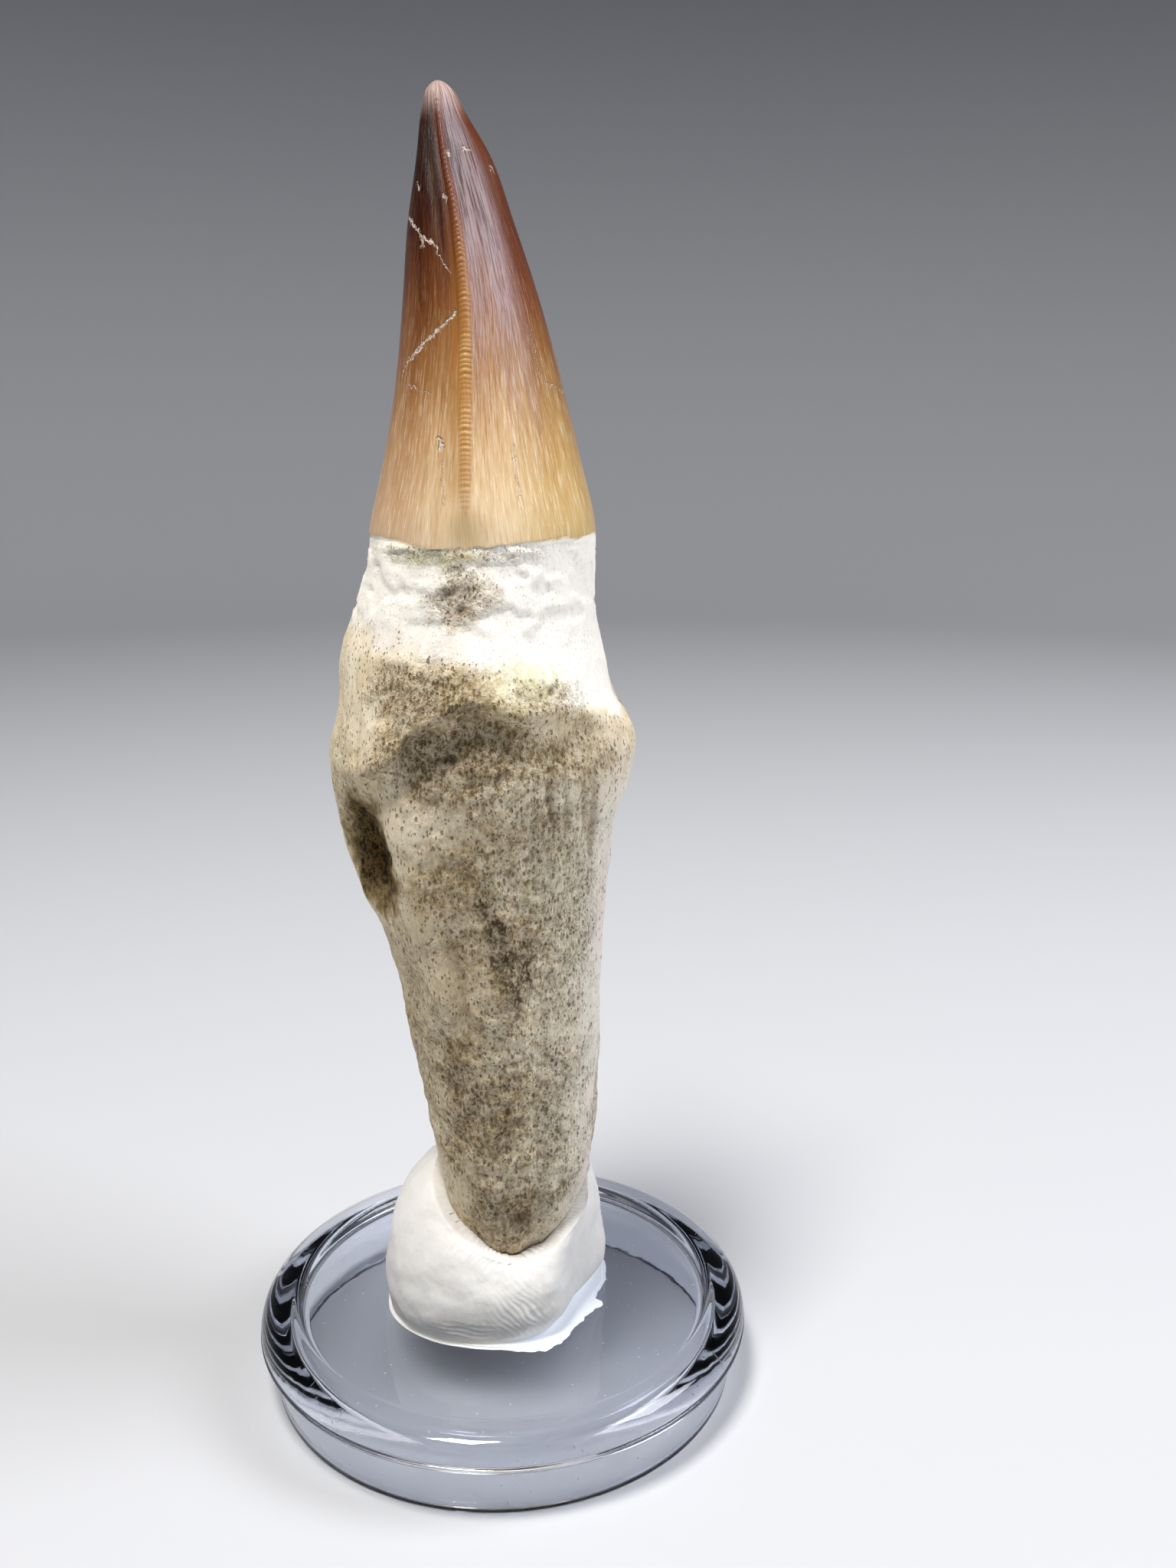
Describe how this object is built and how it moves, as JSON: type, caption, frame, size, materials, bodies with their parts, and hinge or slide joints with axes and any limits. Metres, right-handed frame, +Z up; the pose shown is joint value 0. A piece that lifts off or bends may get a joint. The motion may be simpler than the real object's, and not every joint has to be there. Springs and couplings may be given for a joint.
{
  "type": "fossil mosasaur tooth on a display foot",
  "caption": "Fossil marine reptile tooth with a glossy brown enamel crown and a pale pitted root, held upright in putty on a clear round lid.",
  "frame": {"origin": "middle of the circle on which the lid's skirt stands", "axes": "+Z up along the tooth towards its tip, -Y towards the side with the front cutting edge, +X to the right in the picture"},
  "size_m": [0.04, 0.04, 0.0996],
  "materials": {
    "fossil_tooth": "glossy amber to mahogany enamel crown with fine lengthwise streaks and pale cracks, over a matte cream root with brown specks and open pores",
    "ivory_putty": "soft ivory putty, matte with a faint sheen, finger marked",
    "clear_plastic": "clear moulded polystyrene with a faint blue tint at its edges"
  },
  "bodies": {
    "root": {"tooth": "fossil_tooth", "mounting_putty": "ivory_putty", "display_disc": "clear_plastic"}
  },
  "joints": []
}
